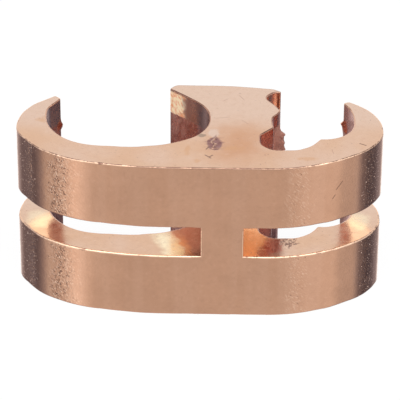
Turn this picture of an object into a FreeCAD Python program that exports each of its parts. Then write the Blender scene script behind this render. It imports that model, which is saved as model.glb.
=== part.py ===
import FreeCAD, Part
import math
import os
import Sketcher

# Figure-E earth connector: one block of copper with the plan of a wide letter E that lies on its back.
# A wide groove on the left takes an earth rod or a heavy cable, and a narrow groove on the right takes
# the tap wire. A centre post stands between them, and its head hooks over both grooves.
# A slot cut in from each end parts the block into two equal bands, which stay joined by a thin web.
#
# Frame: X across both grooves, Y from the plain front face to the open side, Z up.
# The origin is the centre of the block's plan, on its base.

# Every size in millimetres: its name, its value and what it measures.
SIZE_ROWS = (
    ("body_height", 27.0, "base to top"),
    ("cut_surplus", 2.0, "how far a cut runs past the block's side"),
    ("edge_round", 0.15, "rounding of the rims of the top and the base"),
    ("slot_gap", 5.2, "height of the slot between the two bands"),
    ("web_width", 6.6, "width of the web left between the slots"),
    ("slot_stop", 1.1, "end of the left slot to the left side of the post"),
    ("arm_wall", 4.5, "thickness of both arms at mid depth"),
    ("post_width", 9.7, "width of the post, between the two grooves"),
    ("head_wall", 3.0, "thickness of the post's head over the rod seat"),
    ("shoulder_reach", 16.7, "front face to the corner where an arm turns in"),
    ("shoulder_round", 9.5, "rounding of that corner"),
    ("flank_reach", 10.2, "front face to the corner at the foot of an arm"),
    ("flank_round", 5.0, "rounding of that corner"),
    ("tip_round", 0.4, "rounding of the arm tips"),
    ("left_tip_inset", 5.5, "left side to the outer corner of the left tip"),
    ("left_tip_reach", 21.2, "front face to the end of the left tip"),
    ("right_tip_inset", 5.1, "right side to the outer corner of the right tip"),
    ("right_tip_reach", 20.4, "front face to the end of the right tip"),
    ("tip_width", 1.0, "width of the flat on each tip"),
    ("left_tip_slope", 0.9, "fall of the left tip's flat towards the groove"),
    ("right_tip_slope", 0.4, "fall of the right tip's flat towards the groove"),
    ("left_haunch_inset", 3.5, "left side to the corner between arm and front"),
    ("left_haunch_reach", 5.3, "front face to that corner"),
    ("left_haunch_round", 10.0, "rounding of that corner"),
    ("left_bow_inset", 9.2, "left side to the outer bend of the front"),
    ("left_bow_reach", 1.8, "front face to that bend"),
    ("left_bow_round", 19.0, "rounding of that bend"),
    ("left_flat_inset", 19.5, "left side to the end of the flat front"),
    ("left_flat_round", 50.0, "rounding at the left end of the flat front"),
    ("right_haunch_inset", 1.8, "right side to the corner between arm and front"),
    ("right_haunch_reach", 6.2, "front face to that corner"),
    ("right_haunch_round", 10.0, "rounding of that corner"),
    ("right_bow_inset", 7.8, "right side to the outer bend of the front"),
    ("right_bow_reach", 2.3, "front face to that bend"),
    ("right_bow_round", 16.0, "rounding of that bend"),
    ("right_flat_inset", 14.1, "right side to the end of the flat front"),
    ("right_flat_round", 22.0, "rounding at the right end of the flat front"),
    ("rod_width", 25.5, "width of the rod groove, arm to post"),
    ("rod_seat_radius", 7.3, "radius of the seat for a 14.6 mm cable or rod"),
    ("seat_rise", 0.5, "height of the seat's lowest point above the foot of the ramp"),
    ("rod_floor_wall", 6.0, "thickness of the front wall under the rod groove"),
    ("ramp_foot_inset", 6.5, "left side of the post to the foot of the ramp"),
    ("rod_floor_round", 9.0, "rounding of the floor at its lowest point"),
    ("rod_ramp_run", 5.3, "lowest point of the floor to the foot of its ramp"),
    ("rod_ramp_rise", 0.9, "height of the foot of the ramp above the floor"),
    ("rod_ramp_round", 14.0, "rounding at the foot of the ramp"),
    ("rod_side_rise", 1.0, "height of the floor's left corner above the floor"),
    ("rod_side_round", 8.8, "rounding of the groove's left corner"),
    ("rod_throat_reach", 17.1, "front face to where the left wall leans in"),
    ("rod_throat_round", 3.0, "rounding where the left wall leans in"),
    ("tap_width", 12.8, "width of the tap groove, arm to post"),
    ("tap_floor_wall", 5.6, "thickness of the front wall under the tap groove"),
    ("tap_throat_reach", 17.3, "front face to where the right wall leans in"),
    ("tap_throat_round", 8.0, "rounding where the right wall leans in"),
    ("tap_shelf_reach", 9.0, "front face to the shelf in the tap groove"),
    ("tap_shelf_inset", 5.3, "right wall of the groove to the edge of the shelf"),
    ("tap_shelf_round", 4.8, "rounding between the shelf and the right wall"),
    ("tap_brow_round", 0.3, "rounding of the edge of the shelf"),
    ("tap_pocket_inset", 7.6, "right wall of the groove to the pocket's right corner"),
    ("tap_pocket_round", 4.8, "rounding of that corner"),
    ("tap_undercut", 1.8, "reach of the pocket under the post"),
    ("tap_undercut_round", 2.8, "rounding of the pocket's left corner"),
    ("tap_undercut_height", 4.3, "floor of the pocket to the top of the undercut"),
    ("tap_undercut_top_round", 0.8, "rounding at the top of the undercut"),
    ("rib_rise", 2.3, "top of the undercut to the lower rib on the post"),
    ("rib_round", 0.4, "rounding of the ribs on the post"),
    ("dimple_rise", 2.8, "lower rib to the dimple between the ribs"),
    ("dimple_depth", 0.3, "depth of the dimple behind the lower rib"),
    ("dimple_round", 3.2, "rounding of the dimple"),
    ("upper_rib_rise", 2.4, "dimple to the upper rib on the post"),
    ("upper_rib_height", 1.0, "how far the upper rib stands out"),
    ("hook_drop", 3.6, "back of the post to the hollow under the hook"),
    ("hook_depth", 1.0, "depth of that hollow into the post"),
    ("hook_round", 1.7, "rounding of that hollow"),
    ("hook_roof_drop", 1.8, "back of the post to the underside of the hook"),
    ("hook_roof_inset", 0.2, "start of the hook's underside, from the groove's wall"),
    ("hook_roof_round", 0.8, "rounding of the hook's underside"),
    ("hook_overhang", 2.0, "how far the hook's point stands over the groove"),
    ("hook_point_drop", 2.5, "back of the post to the hook's point"),
    ("hook_back_drop", 0.9, "fall of the head's back at its right corner"),
    ("hook_back_round", 1.6, "rounding of that corner"),
    ("head_flat_run", 6.2, "right side of the post to the right end of the head's flat back"),
    ("head_flat_round", 50.0, "rounding at the right end of the flat back"),
    ("head_overhang", 5.6, "how far the head's flat back runs out over the rod groove"),
    ("head_left_round", 1.2, "rounding at the left end of the flat back"),
    ("lip_overhang", 6.4, "how far the head's lip stands out over the rod groove"),
    ("lip_drop", 1.3, "back of the post to the lip"),
    ("lip_round", 0.2, "rounding of the lip and of the hook's point"),
)
SIZE = {name: value for name, value, meaning in SIZE_ROWS}

# What the block's plan adds up to, from left to right and, through the rod seat, from front to back.
WIDTH = ("arm_wall", "rod_width", "post_width", "tap_width", "arm_wall")
DEPTH = ("rod_floor_wall", "rod_ramp_rise", "seat_rise", "rod_seat_radius", "rod_seat_radius", "head_wall")

# Two points closer than this are the same place, in millimetres.
SAME_PLACE = 0.01

# The share of a straight that the roundings at its two ends may take up.
ROUNDED_SHARE = 0.98

doc = FreeCAD.newDocument("figure_e_connector")


def make_sheet():
    """The sheet of driving sizes, with one named cell for each."""
    sheet = doc.addObject("Spreadsheet::Sheet", "Sizes")
    for row, (name, value, meaning) in enumerate(SIZE_ROWS, start=1):
        sheet.set("A%d" % row, name)
        sheet.set("B%d" % row, "%g" % value)
        sheet.set("C%d" % row, meaning)
        sheet.setAlias("B%d" % row, name)
    doc.recompute()
    return sheet


def total_of(names):
    """The sum of named sizes, as a formula."""
    return " + ".join("Sizes." + name for name in names)


class Place:
    """A coordinate that starts at one side of the block's plan and adds or takes away named sizes."""

    def __init__(self, overall, side, *added, less=()):
        self.number = side * sum(SIZE[name] for name in overall) / 2
        self.formula = "%g * (%s)" % (side / 2, total_of(overall))
        for name in added:
            self.number -= side * SIZE[name]
            self.formula += " %s Sizes.%s" % ("-" if side > 0 else "+", name)
        for name in less:
            self.number += side * SIZE[name]
            self.formula += " %s Sizes.%s" % ("+" if side > 0 else "-", name)


def left(*inset, less=()):
    """Measured to the right from the block's left side."""
    return Place(WIDTH, -1, *inset, less=less)


def right(*inset, less=()):
    """Measured to the left from the block's right side."""
    return Place(WIDTH, 1, *inset, less=less)


def front(*reach, less=()):
    """Measured back from the plain front face."""
    return Place(DEPTH, -1, *reach, less=less)


def back(*drop, less=()):
    """Measured forward from the back of the post."""
    return Place(DEPTH, 1, *drop, less=less)


# Each outline runs anticlockwise seen from above, a corner at a time: its place before rounding, and
# its rounding. A sharp corner has none. A seat is given by its centre, and the outline runs round it.
# ROD_POST and TAP_POST lead from the left and right sides to the post's own sides.
SHARP = "sharp"
SEAT = "seat"
LEFT_TIP = (left("left_tip_inset", "tip_width"), front("left_tip_reach", less=("left_tip_slope",)), SHARP)
RIGHT_TIP = (
    right("right_tip_inset", "tip_width"),
    front("right_tip_reach", less=("right_tip_slope",)),
    SHARP,
)
ROD_POST = ("arm_wall", "rod_width")
TAP_POST = ("arm_wall", "tap_width")
HOOK_POINT = (right(*TAP_POST, less=("hook_overhang",)), back("hook_point_drop"), SHARP)
LIP = (left(*ROD_POST, less=("lip_overhang",)), back("lip_drop"), SHARP)
BLOCK_OUTLINE = (
    (left("left_tip_inset"), front("left_tip_reach"), "tip_round"),
    (left(), front("shoulder_reach"), "shoulder_round"),
    (left(), front("flank_reach"), "flank_round"),
    (left("left_haunch_inset"), front("left_haunch_reach"), "left_haunch_round"),
    (left("left_bow_inset"), front("left_bow_reach"), "left_bow_round"),
    (left("left_flat_inset"), front(), "left_flat_round"),
    (right("right_flat_inset"), front(), "right_flat_round"),
    (right("right_bow_inset"), front("right_bow_reach"), "right_bow_round"),
    (right("right_haunch_inset"), front("right_haunch_reach"), "right_haunch_round"),
    (right(), front("flank_reach"), "flank_round"),
    (right(), front("shoulder_reach"), "shoulder_round"),
    (right("right_tip_inset"), front("right_tip_reach"), "tip_round"),
    RIGHT_TIP,
    HOOK_POINT,
    (right(*TAP_POST), back("hook_back_drop"), "hook_back_round"),
    (right(*TAP_POST, "head_flat_run"), back(), "head_flat_round"),
    (left(*ROD_POST, less=("head_overhang",)), back(), "head_left_round"),
    LIP,
    LEFT_TIP,
)
SEAT_CENTRE = (
    left(*ROD_POST, less=("rod_seat_radius",)),
    front("rod_floor_wall", "rod_ramp_rise", "seat_rise", "rod_seat_radius"),
    SEAT,
)
RAMP_FOOT = (
    left(*ROD_POST, less=("ramp_foot_inset",)),
    front("rod_floor_wall", "rod_ramp_rise"),
    "rod_ramp_round",
)
FLOOR_LOW = (
    left(*ROD_POST, less=("ramp_foot_inset", "rod_ramp_run")),
    front("rod_floor_wall"),
    "rod_floor_round",
)
ROD_OUTLINE = (
    (LIP[0], back(less=("cut_surplus",)), SHARP),
    (LEFT_TIP[0], back(less=("cut_surplus",)), SHARP),
    LEFT_TIP,
    (left("arm_wall"), front("rod_throat_reach"), "rod_throat_round"),
    (left("arm_wall"), front("rod_floor_wall", "rod_side_rise"), "rod_side_round"),
    FLOOR_LOW,
    RAMP_FOOT,
    SEAT_CENTRE,
    LIP,
)
UNDERCUT_TOP = ("tap_floor_wall", "tap_undercut_height")
RIB = UNDERCUT_TOP + ("rib_rise",)
DIMPLE = RIB + ("dimple_rise",)
UPPER_RIB = DIMPLE + ("upper_rib_rise",)
TAP_OUTLINE = (
    (RIGHT_TIP[0], back(less=("cut_surplus",)), SHARP),
    (HOOK_POINT[0], back(less=("cut_surplus",)), SHARP),
    HOOK_POINT,
    (right(*TAP_POST, less=("hook_roof_inset",)), back("hook_roof_drop"), "hook_roof_round"),
    (right(*TAP_POST, "hook_depth"), back("hook_drop"), "hook_round"),
    (right(*TAP_POST, less=("upper_rib_height",)), front(*UPPER_RIB), "rib_round"),
    (right(*TAP_POST), front(*DIMPLE), "dimple_round"),
    (right(*TAP_POST, less=("dimple_depth",)), front(*RIB), "rib_round"),
    (right(*TAP_POST, "tap_undercut"), front(*UNDERCUT_TOP), "tap_undercut_top_round"),
    (right(*TAP_POST, "tap_undercut"), front("tap_floor_wall"), "tap_undercut_round"),
    (right("arm_wall", "tap_pocket_inset"), front("tap_floor_wall"), "tap_pocket_round"),
    (right("arm_wall", "tap_shelf_inset"), front("tap_shelf_reach"), "tap_brow_round"),
    (right("arm_wall"), front("tap_shelf_reach"), "tap_shelf_round"),
    (right("arm_wall"), front("tap_throat_reach"), "tap_throat_round"),
    RIGHT_TIP,
)


def half_angle(before, corner, after):
    """Half the angle between the two straights that meet at a corner."""
    return before.sub(corner).getAngle(after.sub(corner)) / 2


def turn_points(before, corner, after, radius):
    """The centre of a rounding, where it touches the two straights at its corner, and its turn."""
    towards = before.sub(corner)
    onwards = after.sub(corner)
    towards.normalize()
    onwards.normalize()
    half = half_angle(before, corner, after)
    setback = radius / math.tan(half)
    bisector = towards.add(onwards)
    bisector.normalize()
    centre = corner.add(bisector * (radius / math.sin(half)))
    leftward = towards.cross(onwards).z < 0
    return centre, corner.add(towards * setback), corner.add(onwards * setback), leftward


def touch_point(outside, centre, radius, side):
    """Where a straight from a point outside touches a circle: side -1 keeps the circle on its left."""
    apart = centre.sub(outside)
    heading = math.atan2(apart.y, apart.x) + side * math.asin(radius / apart.Length)
    run = math.sqrt(apart.Length ** 2 - radius ** 2)
    return outside.add(FreeCAD.Vector(math.cos(heading), math.sin(heading), 0) * run)


def arc_between(centre, radius, first, last, leftward):
    """The arc from first to last, which the sketch keeps anticlockwise."""
    start, end = (first, last) if leftward else (last, first)
    turn_from = math.atan2(start.y - centre.y, start.x - centre.x)
    turn_to = math.atan2(end.y - centre.y, end.x - centre.x)
    circle = Part.Circle(centre, FreeCAD.Vector(0, 0, 1), radius)
    return Part.ArcOfCircle(circle, turn_from, turn_to)


def outline_turns(outline):
    """The outline's points. For each its centre, where the outline meets and leaves it, its turn and
    the share of its named rounding that it gets: less than the whole where a straight beside it is
    too short for the roundings at its ends."""
    points = [FreeCAD.Vector(x.number, y.number, 0) for x, y, rounding in outline]
    count = len(points)
    met = list(points)
    left_at = list(points)
    for index, (x, y, rounding) in enumerate(outline):
        if rounding == SEAT:
            radius = SIZE["rod_seat_radius"]
            met[index] = touch_point(points[index - 1], points[index], radius, -1)
            left_at[index] = touch_point(points[(index + 1) % count], points[index], radius, 1)
    setbacks = []
    for index, (x, y, rounding) in enumerate(outline):
        setback = 0
        if rounding not in (SHARP, SEAT):
            half = half_angle(left_at[index - 1], points[index], met[(index + 1) % count])
            setback = SIZE[rounding] / math.tan(half)
        setbacks.append(setback)
    shares = [1.0] * count
    for index in range(count):
        onward = (index + 1) % count
        room = ROUNDED_SHARE * met[onward].sub(left_at[index]).Length
        wanted = setbacks[index] + setbacks[onward]
        if wanted > room:
            shares[index] = min(shares[index], room / wanted)
            shares[onward] = min(shares[onward], room / wanted)
    turns = []
    for index, (x, y, rounding) in enumerate(outline):
        if rounding in (SHARP, SEAT):
            turns.append((points[index], met[index], left_at[index], True, 1.0))
            continue
        after = met[(index + 1) % count]
        share = shares[index]
        turn = turn_points(left_at[index - 1], points[index], after, share * SIZE[rounding])
        turns.append(turn + (share,))
    return points, turns


def origin_plane(body, role):
    """One of the body's own origin planes."""
    for feature in body.Origin.OriginFeatures:
        if feature.Role == role:
            return feature
    raise ValueError("no plane called " + role)


def new_sketch(body, name, role):
    """An empty sketch on an origin plane of the body."""
    sketch = body.newObject("Sketcher::SketchObject", name)
    sketch.AttachmentSupport = [(origin_plane(body, role), "")]
    sketch.MapMode = "FlatFace"
    return sketch


def bind(sketch, kind, *where, number, formula):
    """Adds a constraint with a value and ties that value to the sheet."""
    index = sketch.addConstraint(Sketcher.Constraint(kind, *where, number))
    sketch.setExpression("Constraints[%d]" % index, formula)


def draw_outline(body, name, outline):
    """A closed outline whose rounded corners are tangent to the straights before and after them."""
    sketch = new_sketch(body, name, "XY_Plane")
    points, turns = outline_turns(outline)
    count = len(turns)
    for index, turn in enumerate(turns):
        sketch.addGeometry(Part.LineSegment(turn[2], turns[(index + 1) % count][1]), False)
    for index, (x, y, rounding) in enumerate(outline):
        line_in = (index - 1) % count
        line_out = index
        if rounding == SHARP:
            sketch.addConstraint(Sketcher.Constraint("Coincident", line_in, 2, line_out, 1))
            bind(sketch, "DistanceX", line_out, 1, number=x.number, formula=x.formula)
            bind(sketch, "DistanceY", line_out, 1, number=y.number, formula=y.formula)
            continue
        radius_name = "rod_seat_radius" if rounding == SEAT else rounding
        centre, first, last, leftward, share = turns[index]
        radius = share * SIZE[radius_name]
        arc = sketch.addGeometry(arc_between(centre, radius, first, last, leftward), False)
        entry, leaving = (1, 2) if leftward else (2, 1)
        sketch.addConstraint(Sketcher.Constraint("Tangent", line_in, 2, arc, entry))
        sketch.addConstraint(Sketcher.Constraint("Tangent", line_out, 1, arc, leaving))
        anchor, position = arc, 3
        if rounding != SEAT:
            anchor, position = sketch.addGeometry(Part.Point(points[index]), True), 1
            sketch.addConstraint(Sketcher.Constraint("PointOnObject", anchor, 1, line_in))
            sketch.addConstraint(Sketcher.Constraint("PointOnObject", anchor, 1, line_out))
        bind(sketch, "DistanceX", anchor, position, number=x.number, formula=x.formula)
        bind(sketch, "DistanceY", anchor, position, number=y.number, formula=y.formula)
        bind(sketch, "Radius", arc, number=radius, formula="%g * Sizes.%s" % (share, radius_name))
    return sketch


def draw_slot(body, name, outer, inner):
    """The slot across the block from beyond one end to the web, as seen from the front."""
    sketch = new_sketch(body, name, "XZ_Plane")
    low = (SIZE["body_height"] - SIZE["slot_gap"]) / 2
    high = (SIZE["body_height"] + SIZE["slot_gap"]) / 2
    spots = [(outer.number, low), (inner.number, low), (inner.number, high), (outer.number, high)]
    spots = [FreeCAD.Vector(x, z, 0) for x, z in spots]
    for index, spot in enumerate(spots):
        sketch.addGeometry(Part.LineSegment(spot, spots[(index + 1) % 4]), False)
    for index in range(4):
        sketch.addConstraint(Sketcher.Constraint("Coincident", index, 2, (index + 1) % 4, 1))
    for index in (0, 2):
        sketch.addConstraint(Sketcher.Constraint("Horizontal", index))
    for index in (1, 3):
        sketch.addConstraint(Sketcher.Constraint("Vertical", index))
    bind(sketch, "DistanceX", 0, 1, number=outer.number, formula=outer.formula)
    bind(sketch, "DistanceX", 1, 1, number=inner.number, formula=inner.formula)
    bind(sketch, "DistanceY", 1, 1, number=low, formula="(Sizes.body_height - Sizes.slot_gap) / 2")
    bind(sketch, "DistanceY", 1, 2, number=high, formula="(Sizes.body_height + Sizes.slot_gap) / 2")
    return sketch


def level_faces(shape):
    """The names of the block's level faces, its top and its base."""
    names = []
    for number, face in enumerate(shape.Faces, start=1):
        if isinstance(face.Surface, Part.Plane) and face.BoundBox.ZLength < SAME_PLACE:
            names.append("Face%d" % number)
    return names


def upright_edges(shape, corners):
    """The names of the upright edges that stand on the given corners of an outline."""
    names = []
    for x, y, rounding in corners:
        foot = FreeCAD.Vector(x.number, y.number, 0)
        for number, edge in enumerate(shape.Edges, start=1):
            ends = [FreeCAD.Vector(end.X, end.Y, 0) for end in edge.Vertexes]
            if len(ends) == 2 and all(end.sub(foot).Length < SAME_PLACE for end in ends):
                names.append("Edge%d" % number)
    return names


def cut_away(body, name, sketch, base):
    """A pocket through the whole block, to both sides of its sketch. It has to remove something."""
    pocket = body.newObject("PartDesign::Pocket", name)
    pocket.Profile = sketch
    pocket.Midplane = True
    pocket.setExpression("Length", "2 * (Sizes.body_height + %s)" % total_of(DEPTH))
    doc.recompute()
    if pocket.Shape.Volume >= base.Shape.Volume:
        raise ValueError(name + " cuts nothing")
    return pocket


def round_off(body, name, base, pieces, size_name):
    """A rounding on the named edges or faces."""
    rounding = body.newObject("PartDesign::Fillet", name)
    rounding.Base = (base, pieces)
    rounding.setExpression("Radius", "Sizes." + size_name)
    doc.recompute()
    return rounding


def make_connector():
    """The block raised to full height, the two grooves and two slots cut, and its edges rounded."""
    body = doc.addObject("PartDesign::Body", "connector_body")
    block = body.newObject("PartDesign::Pad", "block")
    block.Profile = draw_outline(body, "block_outline", BLOCK_OUTLINE)
    block.setExpression("Length", "Sizes.body_height")
    doc.recompute()
    rod_groove = cut_away(body, "rod_groove", draw_outline(body, "rod_outline", ROD_OUTLINE), block)
    tap_groove = cut_away(body, "tap_groove", draw_outline(body, "tap_outline", TAP_OUTLINE), rod_groove)
    tips = round_off(body, "tip_rounds", tap_groove,
                     upright_edges(tap_groove.Shape, (LEFT_TIP, RIGHT_TIP)), "tip_round")
    lips = round_off(body, "lip_rounds", tips, upright_edges(tips.Shape, (HOOK_POINT, LIP)), "lip_round")
    rims = round_off(body, "rims", lips, level_faces(lips.Shape), "edge_round")
    beyond_left = left(less=("cut_surplus",))
    beyond_right = right(less=("cut_surplus",))
    web_left = left(*ROD_POST, less=("slot_stop",))
    web_right = left(*ROD_POST, "web_width", less=("slot_stop",))
    left_outline = draw_slot(body, "left_slot_outline", beyond_left, web_left)
    left_slot = cut_away(body, "left_slot", left_outline, rims)
    right_outline = draw_slot(body, "right_slot_outline", beyond_right, web_right)
    cut_away(body, "right_slot", right_outline, left_slot)
    body.Label = "connector"
    body.Placement = FreeCAD.Placement()
    return body


def check_all(parts):
    """Stops if any object failed or any sub-part is not one valid solid."""
    for item in doc.Objects:
        if "Invalid" in item.State or "Error" in item.State:
            raise ValueError(item.Name + " failed: " + ", ".join(item.State))
    for part in parts:
        if part.Shape.isNull() or not part.Shape.isValid() or len(part.Shape.Solids) != 1:
            raise ValueError(part.Label + " is not one valid solid")


make_sheet()
parts = [make_connector()]
doc.recompute()
check_all(parts)
os.makedirs("parts", exist_ok=True)
for part in parts:
    part.Shape.exportStep("parts/%s.step" % part.Label)
    box = part.Shape.optimalBoundingBox(True, False)
    print("%s: %.2f x %.2f x %.2f mm, %.1f mm3, %d faces" % (
        part.Label, box.XLength, box.YLength, box.ZLength, part.Shape.Volume, len(part.Shape.Faces)))
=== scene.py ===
import math
import bmesh
import bpy
from mathutils import Matrix, Vector, noise
from mathutils.geometry import convex_hull_2d, delaunay_2d_cdt


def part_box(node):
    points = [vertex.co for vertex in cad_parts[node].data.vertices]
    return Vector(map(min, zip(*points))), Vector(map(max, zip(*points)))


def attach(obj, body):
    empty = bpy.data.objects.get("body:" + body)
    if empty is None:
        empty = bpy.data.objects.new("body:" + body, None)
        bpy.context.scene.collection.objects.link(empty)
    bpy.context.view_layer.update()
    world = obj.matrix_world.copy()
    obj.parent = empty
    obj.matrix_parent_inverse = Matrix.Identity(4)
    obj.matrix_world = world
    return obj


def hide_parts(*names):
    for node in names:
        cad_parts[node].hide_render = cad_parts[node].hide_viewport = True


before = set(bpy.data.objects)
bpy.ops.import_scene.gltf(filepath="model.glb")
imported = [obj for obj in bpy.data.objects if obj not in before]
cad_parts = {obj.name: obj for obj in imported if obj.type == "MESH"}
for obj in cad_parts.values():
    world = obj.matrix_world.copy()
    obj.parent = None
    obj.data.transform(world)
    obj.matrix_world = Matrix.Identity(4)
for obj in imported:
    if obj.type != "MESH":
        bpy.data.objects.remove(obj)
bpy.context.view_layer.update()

MM = 0.001
NODE = "connector"

# The camera: the point it aims at, and how far round, how high and how far off it stands.
AIM = Vector((0.38, -21.5, 27.0)) * MM
CAMERA_DISTANCE = 440.3 * MM
CAMERA_ELEVATION = math.radians(32.5)
CAMERA_TURN = math.radians(0.75)
CAMERA_ROLL = math.radians(-0.35)
CAMERA_LENS = 265.5
SENSOR_WIDTH = 36.0
CAMERA_REACH = 10.0

# The solid's rounded rims, the height of its slots, and the web's two edges: where each lies, and which
# way the web lies from it.
EDGE_ROUND = 0.15 * MM
SLOT_GAP = 5.2 * MM
WEB_LEFT = 0.4 * MM
WEB_RIGHT = 7.0 * MM
WEB_EDGES = ((WEB_LEFT, 1), (WEB_RIGHT, -1))

# How finely the surface is divided, how near points are joined, and from which angle an edge is sharp.
OUTLINE_STEP = 0.35 * MM
ROW_STEP = 0.5 * MM
FACE_STEP = 1.0 * MM
FACE_MARGIN = 0.45 * FACE_STEP
SLOT_LEVELS = round(SLOT_GAP / ROW_STEP)
RIM_STEPS = 4
WELD = 0.001 * MM
CROSSING_REACH = 1e-9
SMOOTH_ANGLE = math.radians(40)

# How the broken edges vary: the mean radius, two swings round it with the size of their waves, the layer
# of the noise for the fine one, the least radius, how much wider the slots' edges are, and the narrow
# border that closes every rounding. The edges of the web are even.
RIM_MEAN = 0.20 * MM
RIM_SWING = 0.09 * MM
RIM_WAVE = 1.6 * MM
RIM_FINE_SWING = 0.06 * MM
RIM_FINE_WAVE = 0.5 * MM
RIM_FINE_LAYER = 9.0
RIM_LEAST = 0.07 * MM
SLOT_RIM_SHARE = 1.4
RIM_BORDER = 0.03 * MM
WEB_RIM = 0.14 * MM
# The slots' edges widen over this distance from the web. Between these two distances past an edge of the
# web, the column where its rounding ends stands alone.
WIDENING = 1.5 * MM
WEB_CLEAR = (-0.6 * WEB_RIM, 1.8 * WEB_RIM)
# On an outer corner that turns more than this, the radius keeps to a share of the bend's own. A column
# takes the smallest radius wanted by it and by so many neighbours to each side.
LEAST_TURN = 1e-4
BEND_SHARE = 0.7
RIM_NEIGHBOURS = 2

SKIN, CUT, EDGE = 0, 1, 2

# A nick in the top face: its middle, half its size, its depth, the steps of the points over it, the size
# of its ragged spots and the height above which it lies. From its border its depth and its bruise rise
# by their slopes, and the ragged spots make them swing.
NICK = Vector((2.35, -5.3)) * MM
NICK_SIZE = Vector((1.35, 2.2)) * MM
NICK_DEPTH = 0.13 * MM
NICK_STEP = 0.13 * MM
NICK_GRAIN = 0.55 * MM
NICK_LEVEL = 26.5 * MM
NICK_SLOPE = 2.2
NICK_MEAN, NICK_SWING = 0.6, 0.8
BRUISE_SLOPE = 4
BRUISE_SWING = 0.2
# A raised zigzag runs through it: its corners, how far it reaches, its height as a share of the nick's
# depth, and how far it is free of the bruise.
ZIGZAG = [Vector(corner) * MM for corner in ((2.5, -3.6), (1.75, -4.9), (2.6, -5.3), (1.9, -6.7),
                                            (2.9, -6.6))]
ZIGZAG_REACH = 0.22 * MM
ZIGZAG_SHARE = 1.1
ZIGZAG_BARE = 0.9

# Burrs: where each lies, how far it reaches along X, Y and Z, and how far it pushes the metal out.
BURRS = [[Vector(values) * MM for values in burr] for burr in (
    ((12.2, 4.4, 18.9), (2.0, 2.6, 5.0), (1.0, 0.0, 0.0)),
    ((-22.0, 7.6, 22.1), (0.9, 0.9, 0.8), (0.35, 0.0, 0.0)),
    ((22.7, 7.2, 22.6), (1.0, 1.0, 1.0), (-0.4, 0.0, 0.0)),
    ((23.3, 5.6, 19.3), (0.9, 0.9, 1.2), (-0.35, 0.0, 0.0)),
    ((23.0, -2.6, 15.9), (1.3, 1.3, 1.2), (-0.3, 0.1, -0.5)),
    ((-22.6, -2.0, 15.9), (1.2, 1.2, 1.0), (0.2, 0.0, -0.4)),
)]
BURR_GRAIN = 0.7 * MM
BURR_MEAN, BURR_SWING = 0.65, 0.7
BURR_SLOPE = 4
# The hook stands out a little at its end: from where along X and Y, over what distance, as far to the
# right as the limit, and how far.
HOOK_START = Vector((10.2, 2.6)) * MM
HOOK_RISE = Vector((1.4, 1.6)) * MM
HOOK_LIMIT = 16 * MM
HOOK_REACH = 0.42 * MM

# A point is in a hollow when it lies far enough inside the outline's hull: the reach of that, its start as
# a share of the reach, and the height at which the hull is taken.
HOLLOW_START = 0.3
HOLLOW_REACH = 1.2 * MM
HOLLOW_LEVEL = 20 * MM

# Scratches on the top: where the middle of each lies, its slope in degrees and half its length.
FAINT_SCRATCHES = (((4.0, 8.0), 45, 0.4), ((6.5, 8.7), -60, 0.7), ((3.5, 2.5), 10, 1.0),
                   ((7.0, 1.3), -50, 0.7), ((20.5, -7.2), -80, 0.6))
DARK_SCRATCHES = (((1.4, -9.1), -45, 0.6), ((1.8, -9.0), 45, 0.4), ((1.3, -6.6), 60, 0.4),
                  ((25.2, -5.0), -30, 0.5))
# The same on the front, by X and Z.
FRONT_SCRATCHES = (((21.6, 22.4), 52, 0.7), ((20.8, 20.6), 55, 0.3))
# Half their widths, and how softly they end along and across.
FAINT_WIDTH = 0.03
DARK_WIDTH = 0.06
STROKE_END = 0.2
STROKE_SIDE = 0.07
# Stains on the top: where each lies and half its size.
ORANGE_STAINS = (((-1.8, -7.3), (0.7, 2.2)), ((-0.3, -10.4), (0.8, 0.9)), ((5.0, -6.6), (2.6, 1.0)),
                 ((-24.6, 1.2), (1.3, 1.2)), ((16.5, -9.4), (2.2, 0.8)))

# The table top and the lamp, in metres and watts.
FLOOR_HALF = 3.0
FLOOR_COLOUR = (0.92, 0.92, 0.92, 1)
FLOOR_ROUGHNESS = 0.9
FLOOR_WHITE = 0.94
LAMP_PLACE = Vector((0.0, -0.25, 1.0))
LAMP_SIZE = 1.4
LAMP_POWER = 4.0


def new_object(name, data):
    """A new object in the scene."""
    thing = bpy.data.objects.new(name, data)
    bpy.context.scene.collection.objects.link(thing)
    return thing


def make_camera():
    """A long lens that looks down on the front, as in the photograph."""
    camera = new_object("camera", bpy.data.cameras.new("camera"))
    camera.data.sensor_width = SENSOR_WIDTH
    camera.data.lens = CAMERA_LENS
    camera.data.clip_end = CAMERA_REACH
    turn = (Matrix.Rotation(CAMERA_TURN, 3, "Z") @ Matrix.Rotation(math.pi / 2 - CAMERA_ELEVATION, 3, "X")
            @ Matrix.Rotation(-CAMERA_ROLL, 3, "Z"))
    place = AIM + turn @ Vector((0, 0, CAMERA_DISTANCE))
    camera.matrix_world = Matrix.Translation(place) @ turn.to_4x4()
    bpy.context.scene.camera = camera


def ring_at(height):
    """The node's outline at one height, anticlockwise seen from above, as a list of points."""
    mesh = bmesh.new()
    mesh.from_mesh(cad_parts[NODE].data)
    bmesh.ops.remove_doubles(mesh, verts=mesh.verts, dist=WELD)
    level = {v for v in mesh.verts if abs(v.co.z - height) < WELD}
    start = min(level, key=lambda v: (v.co.x, v.co.y))
    ring = [start]
    before = None
    while True:
        here = ring[-1]
        neighbours = [e.other_vert(here) for e in here.link_edges]
        onward = [v for v in neighbours if v in level and v is not before]
        before = here
        if not onward or onward[0] is start:
            break
        ring.append(onward[0])
    points = [Vector(v.co.xy) for v in ring]
    mesh.free()
    area = sum(a.cross(b) for a, b in zip(points, points[1:] + points[:1]))
    return points if area > 0 else points[::-1]


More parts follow.
